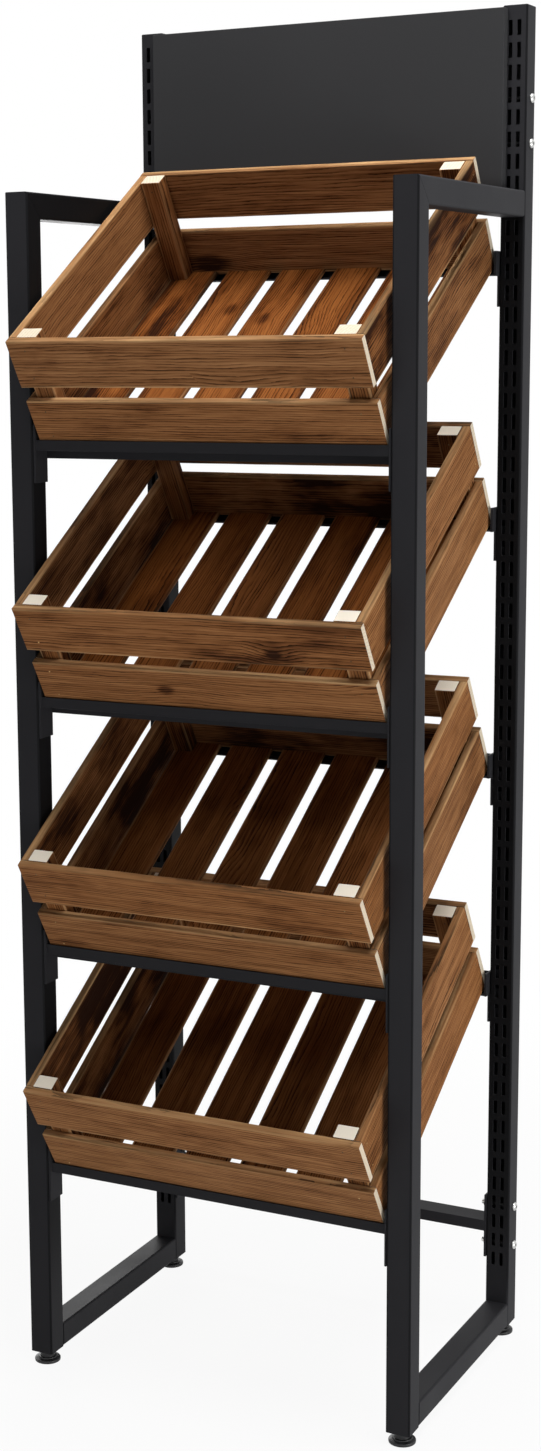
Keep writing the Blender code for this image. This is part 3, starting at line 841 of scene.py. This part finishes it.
def makeBolts():
    low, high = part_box("bolt_header_right_lower")
    length = high.x - low.x
    headHeight = bolt["head"][-1][1]
    shankEnd = length - headHeight
    shank = bolt["shank"]
    profile = [(shank - bolt["tipEase"], -bolt["tip"]), (shank, bolt["tipEase"] - bolt["tip"]),
               (shank, bolt["nutHeight"]), (shank, shankEnd)]
    profile += [(radius, shankEnd + level) for radius, level in bolt["head"]]
    head = makeTurned("boltMaster", profile, bolt["sides"])
    deselectAll()
    bpy.ops.mesh.primitive_cylinder_add(vertices=6, radius=bolt["socket"], depth=2 * bolt["socketDepth"],
                                        location=(0, 0, length))
    cutWith(head, bpy.context.object)
    deselectAll()
    bpy.ops.mesh.primitive_cylinder_add(vertices=6, radius=bolt["nutCorner"], depth=bolt["nutHeight"],
                                        location=(0, 0, bolt["nutHeight"] / 2))
    nut = bpy.context.object
    settle(nut)
    pick(nut, "EDGE", lambda edge: abs(edge.verts[0].co.z - edge.verts[1].co.z) < tiny)
    bpy.ops.mesh.bevel(offset=bolt["nutEase"], segments=bolt["easeSteps"], affect="EDGES")
    stopEditing()
    master = joined([head, nut])
    master.data.materials.clear()
    master.data.materials.append(zincPlate)
    master.data.materials.append(footNylon)
    for face in master.data.polygons:  # painted shade: the shank inside the tube gets the dark nylon material
        inTube = bolt["nutHeight"] + bolt["shadeFrom"] < face.center.z < shankEnd - bolt["shadeFrom"]
        face.material_index = 1 if inTube else 0
    smoothed(master, bolt["smoothAngle"])
    for group in ("header", "stretcher"):
        for sideName, side in sides.items():
            for level in ("lower", "upper"):
                node = "bolt_%s_%s_%s" % (group, sideName, level)
                low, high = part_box(node)
                twin = copyOf(master, "bolt_%s_%s_%s_zinc" % (group, sideName, level))
                twin.rotation_euler = (0, side * math.pi / 2, 0)
                start = low.x if side > 0 else high.x
                twin.location = (start, (low.y + high.y) / 2, (low.z + high.z) / 2)
                settle(twin)
                dressed(twin, "stand", "zinc_bolt", node)
    bpy.data.objects.remove(master)


makeFeet()
makeBolts()
print("feet and bolts made")

# Crates, in a crate's own frame: x across, y up the slope, z square to the floor slats
crate = {
    "width": 0.433,
    "depth": 0.384,
    "boardHeight": 0.061,
    "boardGap": 0.018,
    "boardThick": 0.009,
    "cornerWidth": 0.026,
    "cornerDepth": 0.019,
    "slatCount": 6,
    "slatLastShare": 0.75,
    "slatGap": 0.015,
    "slatThick": 0.005,
    "slatSideGap": 0.002,
    "fit": 0.0003,
}
sideLength = crate["depth"] - 2 * crate["boardThick"] - 2 * crate["fit"]
postLength = 2 * crate["boardHeight"] + crate["boardGap"] - crate["slatThick"] - 2 * crate["fit"]
board = {
    "round": 0.0013,
    "roundSteps": 3,
    "rimWidth": 0.0032,
    "rimReach": 1.05,
    "endEase": 0.0005,
    "endTurn": 0.5,
    "step": 0.016,
    "smoothAngle": 40.0,
    "uneven": 0.0005,
    "unevenScale": 0.035,
    "turnedShare": 0.5,
    "logReach": (-40, 40),
    "pithFar": (0.010, 0.045),
    "pithAside": (0.030, 0.110),
    "endTone": (0.55, 0.9),
    "postTone": (0.4, 0.6),
    "sideTone": (0.45, 0.75),
}
nail = {
    "radius": 0.0010,
    "proud": 0.00035,
    "sunk": 0.0006,
    "crown": 0.6,
    "sides": 8,
    "smoothAngle": 50.0,
    "fromEnd": 0.021,
    "fromEdge": 0.013,
    "sideFromEnd": 0.008,
    "wander": 0.0015,
}
# How much darker than most some boards are: on the left and rear boards of the three lower crates it is
# painted shade, a value below zero is painted light, and elsewhere it is smoke; and the knots seen: along and
# across the board, and how large
smokedAndShaded = {
    "crate_4_right_upper_board": 0.40,
    "crate_4_right_lower_board": 0.07,
    "crate_4_left_lower_board": 0.12,
    "crate_4_left_upper_board": -0.07,
    "crate_4_slat_1": 0.32,
    "crate_3_left_lower_board": 0.30,
    "crate_3_left_upper_board": 0.10,
    "crate_3_rear_lower_board": 0.44,
    "crate_3_rear_upper_board": 0.24,
    "crate_3_front_upper_board": 0.12,
    "crate_3_right_lower_board": -0.06,
    "crate_2_left_lower_board": 0.30,
    "crate_2_left_upper_board": 0.26,
    "crate_2_rear_lower_board": 0.34,
    "crate_2_rear_upper_board": 0.22,
    "crate_1_left_lower_board": 0.34,
    "crate_1_left_upper_board": 0.34,
    "crate_1_rear_lower_board": 0.20,
    "crate_1_rear_upper_board": 0.20,
    "crate_1_front_lower_board": -0.09,
    "crate_1_front_upper_board": -0.08,
}
knotted = {
    "crate_4_slat_2": (0.0915, 0.012, 1.0),
    "crate_4_slat_3": (0.0695, -0.009, 1.0),
    "crate_3_front_lower_board": (-0.048, 0.002, 0.8),
    "crate_3_front_upper_board": (0.103, -0.014, 0.75),
}
noKnot = (9.0, 9.0, 1.0)  # so far off that no board reaches it
# By tier: the slats' tone, paler in the lower crates as painted light; how dark the corner posts are, smoke
# and, in the lower crates, painted shade; and how much painted light brightens their cut ends
tierLook = {
    1: {"slatToneWithPaintedLight": (0.27, 0.33), "postSmokeAndShade": 0.22, "paintedEndLight": 1.0},
    2: {"slatToneWithPaintedLight": (0.25, 0.31), "postSmokeAndShade": 0.22, "paintedEndLight": 1.0},
    3: {"slatToneWithPaintedLight": (0.10, 0.25), "postSmokeAndShade": 0.24, "paintedEndLight": 1.0},
    4: {"slatToneWithPaintedLight": (0.00, 0.15), "postSmokeAndShade": 0.10, "paintedEndLight": 0.0},
}


def boundsEnd(edge, reach):  # edges round a board's sawn ends
    atEnd = min(abs(vert.co.x) for vert in edge.verts) > reach - tiny
    turns = [face.normal.x for face in edge.link_faces]
    return atEnd and len(turns) == 2 and abs(turns[0] - turns[1]) > board["endTurn"]


def makeBoard(name, length, width, thick):
    half = Vector((length, width, thick)) / 2
    piece = addBlock(name, -half, half)
    pick(piece, "EDGE", runsAlong(0))
    bpy.ops.mesh.bevel(offset=board["round"], segments=board["roundSteps"], affect="EDGES")
    for side in (-1, 1):
        pickAll(piece)
        bpy.ops.mesh.bisect(plane_co=(0, side * (half.y - board["rimWidth"]), 0), plane_no=(0, 1, 0))
        if thick > 3 * board["rimWidth"]:  # a corner post has rims on its narrow faces too
            pickAll(piece)
            bpy.ops.mesh.bisect(plane_co=(0, 0, side * (half.z - board["rimWidth"])), plane_no=(0, 0, 1))
    pick(piece, "EDGE", runsAlong(0))
    bpy.ops.mesh.subdivide(number_cuts=int(length / board["step"]))
    pick(piece, "EDGE", lambda edge: boundsEnd(edge, half.x))
    bpy.ops.mesh.bevel(offset=board["endEase"], segments=1, affect="EDGES")
    stopEditing()
    mesh = piece.data
    mesh.materials.append(burntWood)
    mesh.materials.append(cutEnd)
    for face in mesh.polygons:
        face.material_index = 1 if abs(face.normal.x) > squareOn else 0
    addLayers(mesh, half)
    return piece


def addLayers(mesh, half):  # what the wood's materials read, for each corner point
    flat = np.zeros(len(mesh.vertices) * 3, np.float32)
    mesh.vertices.foreach_get("co", flat)
    places = flat.reshape(-1, 3)
    apart = np.array(half) - np.abs(places)
    atEdge = (apart[:, 1] + apart[:, 2] < board["rimReach"] * board["round"]).astype(np.float32)
    mesh.attributes.new("grain", "FLOAT_VECTOR", "POINT").data.foreach_set("vector", flat)
    mesh.attributes.new("rim", "FLOAT", "POINT").data.foreach_set("value", atEdge)
    mesh.attributes.new("spread", "FLOAT", "POINT").data.foreach_set("value", places[:, 1] / half.y)
    for name in ("tone", "smokeAndShade", "paintedEndLight"):
        mesh.attributes.new(name, "FLOAT", "POINT")
    mesh.attributes.new("eye", "FLOAT_VECTOR", "POINT")


def setLayer(mesh, name, value):  # one value all over the board
    mesh.attributes[name].data.foreach_set("value", np.full(len(mesh.vertices), value, np.float32))


def ownGrain(piece, tone, tier):  # each board is cut from another place in the log
    mesh = piece.data
    look = tierLook[tier]
    isPost = piece.name.endswith("_post")
    # smoke, and on some boards painted shade and on others painted light, from the tables above
    setLayer(mesh, "smokeAndShade", smokedAndShaded.get(piece.name, look["postSmokeAndShade"] if isPost else 0.0))
    setLayer(mesh, "paintedEndLight", look["paintedEndLight"] if isPost else 0.0)
    setLayer(mesh, "tone", tone)
    flat = np.zeros(len(mesh.vertices) * 3, np.float32)
    layer = mesh.attributes["grain"].data
    layer.foreach_get("vector", flat)
    places = flat.reshape(-1, 3)
    along, across, size = knotted.get(piece.name, noKnot)
    fromEye = (places - np.array((along, across, 0.0), np.float32)) / size
    mesh.attributes["eye"].data.foreach_set("vector", fromEye.ravel())
    aside = random.choice((-1, 1)) * random.uniform(*board["pithAside"])
    far = random.choice((-1, 1)) * random.uniform(*board["pithFar"])
    shift = (random.uniform(*board["logReach"]), aside, far)
    layer.foreach_set("vector", (places + np.array(shift, np.float32)).ravel())


unevenTexture = bpy.data.textures.new("sawnUneven", "CLOUDS")
unevenTexture.noise_scale = board["unevenScale"]


def setBoard(master, name, crateFrame, centre, lengthwise, widthwise, tones, tier, node):
    tone = random.uniform(*tones)
    piece = copyOf(master, name)
    along, over = Vector(lengthwise), Vector(widthwise)
    if random.random() < board["turnedShare"] and name not in knotted:
        along, over = -along, -over
    turn = Matrix((along, over, along.cross(over))).transposed().to_4x4()
    piece.matrix_world = crateFrame @ Matrix.Translation(centre) @ turn
    settle(piece)
    ownGrain(piece, tone, tier)
    applied(piece, "DISPLACE", texture=unevenTexture, texture_coords="LOCAL", strength=board["uneven"],
            mid_level=0.5)
    smoothed(piece, board["smoothAngle"])
    dressed(piece, "crate_%d" % tier, "burnt_wood", node)


def crateFrames():
    lift = [joint for joint in frame["joints"] if joint["name"] == "crate_1_lift"][0]["axis"]
    tilt = math.atan2(-lift[1], lift[2])
    frames = {}
    for tier in tiers:
        low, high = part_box("crate_%d_base" % tier)
        lowEdge = Vector((0, high.y - crate["depth"] * math.cos(tilt), low.z))
        frames[tier] = Matrix.Translation(lowEdge) @ Matrix.Rotation(tilt, 4, "X")
    return frames


def makeNail():
    radius, proud = nail["radius"], nail["proud"]
    profile = [(radius, -nail["sunk"]), (radius, proud / 2), (nail["crown"] * radius, proud)]
    piece = makeTurned("nailMaster", profile, nail["sides"])
    piece.data.materials.append(nailBrass)
    smoothed(piece, nail["smoothAngle"])
    return piece


def nailSpots():
    spots = []
    half = crate["width"] / 2
    for floorLevel in (0.0, crate["boardHeight"] + crate["boardGap"]):
        for rise in (nail["fromEdge"], crate["boardHeight"] - nail["fromEdge"]):
            level = floorLevel + rise
            for side in (-1, 1):
                across = side * (half - nail["fromEnd"])
                spots.append(((across, 0, level), (0, -1, 0)))
                spots.append(((across, crate["depth"], level), (0, 1, 0)))
                for along in (crate["boardThick"] + nail["sideFromEnd"],
                              crate["depth"] - crate["boardThick"] - nail["sideFromEnd"]):
                    spots.append(((side * half, along, level), (side, 0, 0)))
    postFace = crate["depth"] - crate["boardThick"] - crate["fit"] - crate["cornerDepth"]
    postTop = 2 * crate["boardHeight"] + crate["boardGap"]
    for side in (-1, 1):
        across = side * (half - crate["boardThick"] - crate["fit"] - crate["cornerWidth"] / 2)
        spots.append(((across, postFace, postTop - nail["fromEdge"]), (0, -1, 0)))
    return spots


def makeNails(master, crateFrame, name, body):
    pieces = []
    reach = nail["wander"]
    for place, outward in nailSpots():
        twin = copyOf(master, name)
        turn = Vector(outward).to_track_quat("Z", "Y").to_matrix().to_4x4()
        wander = Vector([random.uniform(-reach, reach) * (1 - abs(part)) for part in outward])
        twin.matrix_world = crateFrame @ Matrix.Translation(Vector(place) + wander) @ turn
        settle(twin)
        pieces.append(twin)
    nails = named(joined(pieces), name)
    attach(nails, body)


def slatLayout():  # the slats' widths and the places of their middles, from left to right
    gaps = crate["slatCount"] - 1
    floorWidth = crate["width"] - 2 * crate["boardThick"] - 2 * crate["slatSideGap"]
    slatWidth = (floorWidth - gaps * crate["slatGap"]) / (gaps + crate["slatLastShare"])
    widths = [slatWidth] * gaps + [slatWidth * crate["slatLastShare"]]
    pitch = slatWidth + crate["slatGap"]
    middles = [-floorWidth / 2 + index * pitch + wide / 2 for index, wide in enumerate(widths)]
    return widths, middles


def makeMasters(slatWidths):
    thick, height = crate["boardThick"], crate["boardHeight"]
    return {
        "end": makeBoard("endBoardMaster", crate["width"], height, thick),
        "side": makeBoard("sideBoardMaster", sideLength, height, thick),
        "slat": makeBoard("slatMaster", sideLength, slatWidths[0], crate["slatThick"]),
        "lastSlat": makeBoard("lastSlatMaster", sideLength, slatWidths[-1], crate["slatThick"]),
        "post": makeBoard("cornerPostMaster", postLength, crate["cornerWidth"], crate["cornerDepth"]),
        "nail": makeNail(),
    }


def makeCrates():
    thick, depth, half = crate["boardThick"], crate["depth"], crate["width"] / 2
    height, slatThick, fit = crate["boardHeight"], crate["slatThick"], crate["fit"]
    acrossX, upSlope, squareUp = (1, 0, 0), (0, 1, 0), (0, 0, 1)
    levels = {"lower": height / 2, "upper": 1.5 * height + crate["boardGap"]}
    postX = half - thick - fit - crate["cornerWidth"] / 2
    postY = thick + fit + crate["cornerDepth"] / 2
    postZ = slatThick + fit + postLength / 2
    slatWidths, slatMiddles = slatLayout()
    masters = makeMasters(slatWidths)
    for tier, crateFrame in crateFrames().items():
        body = "crate_%d" % tier
        for number, x in enumerate(slatMiddles, 1):
            master = masters["slat" if number < len(slatMiddles) else "lastSlat"]
            setBoard(master, "%s_slat_%d" % (body, number), crateFrame, (x, depth / 2, slatThick / 2),
                     upSlope, acrossX, tierLook[tier]["slatToneWithPaintedLight"], tier, body + "_base")
        for end, boardY, cornerY in (("front", thick / 2, postY), ("rear", depth - thick / 2, depth - postY)):
            panel = "%s_%s_panel" % (body, end)
            for level, z in levels.items():
                node = body + "_base" if level == "lower" else panel
                setBoard(masters["end"], "%s_%s_%s_board" % (body, end, level), crateFrame,
                         (0, boardY, z), acrossX, squareUp, board["endTone"], tier, node)
            for sideName, side in sides.items():
                setBoard(masters["post"], "%s_%s_%s_post" % (body, end, sideName), crateFrame,
                         (side * postX, cornerY, postZ), squareUp, acrossX, board["postTone"], tier, panel)
        for sideName, side in sides.items():
            for level, z in levels.items():
                node = "%s_%s_%s" % (body, sideName, level)
                setBoard(masters["side"], node + "_board", crateFrame,
                         (side * (half - thick / 2), depth / 2, z), upSlope, squareUp, board["sideTone"],
                         tier, node)
        makeNails(masters["nail"], crateFrame, body + "_nails", body)
        print("crate %d made" % tier)
    for master in masters.values():
        bpy.data.objects.remove(master)


makeCrates()


# Studio
def makeFloor():
    deselectAll()
    level = cadLow.z - studio["floorDrop"]
    bpy.ops.mesh.primitive_plane_add(size=studio["floorSize"], location=(0, 0, level))
    floor = named(bpy.context.object, "studioFloor")
    material, tree, shader = startMaterial("studioFloor")
    feed(tree, shader, {"Base Color": studio["floorColour"], "Roughness": studio["floorRoughness"],
                        "Specular IOR Level": 0.0})
    glow = addNode(tree, "ShaderNodeEmission", {"Color": (1, 1, 1, 1), "Strength": 1.0})
    far = lengthOf(tree, objectPlace(tree))
    share = mapRange(tree, far, *studio["glowFade"], studio["floorGlow"], 1.0, smooth=True)
    share = times(tree, inSight(tree), share)
    blend = addNode(tree, "ShaderNodeMixShader", {0: share, 1: shader.outputs[0], 2: glow.outputs[0]})
    feed(tree, tree.nodes["Material Output"], {"Surface": blend.outputs[0]})
    floor.data.materials.append(material)


def makeSky():
    world = bpy.data.worlds.new("studioSky")
    bpy.context.scene.world = world
    world.use_nodes = True
    tree = world.node_tree
    light = tree.nodes["Background"]
    feed(tree, light, {"Color": (1, 1, 1, 1), "Strength": studio["skyLight"]})
    white = addNode(tree, "ShaderNodeBackground", {"Color": (1, 1, 1, 1), "Strength": 1.0})
    share = inSight(tree)
    blend = addNode(tree, "ShaderNodeMixShader", {0: share, 1: light.outputs[0], 2: white.outputs[0]})
    feed(tree, tree.nodes["World Output"], {"Surface": blend.outputs[0]})


def makeLamps():
    for name, look in studio["lamps"].items():
        deselectAll()
        bpy.ops.object.light_add(type="AREA", location=look["place"])
        lamp = named(bpy.context.object, name)
        lamp.data.shape = "RECTANGLE"
        lamp.data.size, lamp.data.size_y = look["size"]
        lamp.data.energy = look["watts"]
        lamp.data.spread = math.radians(look["spread"])
        lamp.visible_camera = False
        towards = Vector(look["aim"]) - Vector(look["place"])
        lamp.rotation_euler = towards.to_track_quat("-Z", "Y").to_euler()


def makeCamera():
    deselectAll()
    bpy.ops.object.camera_add(location=camera["place"])
    eye = named(bpy.context.object, "photoCamera")
    view, up = Vector(camera["view"]), Vector(camera["up"])
    eye.rotation_euler = Matrix((view.cross(up), up, -view)).transposed().to_euler()
    eye.data.sensor_fit = "VERTICAL"
    eye.data.sensor_height = camera["sensor"]
    eye.data.sensor_width = camera["sensor"]
    eye.data.lens = camera["lens"]
    eye.data.shift_x, eye.data.shift_y = camera["shift"]
    bpy.context.scene.camera = eye


makeFloor()
makeSky()
makeLamps()
makeCamera()
bpy.context.scene.view_settings.view_transform = "Standard"
print("studio made")
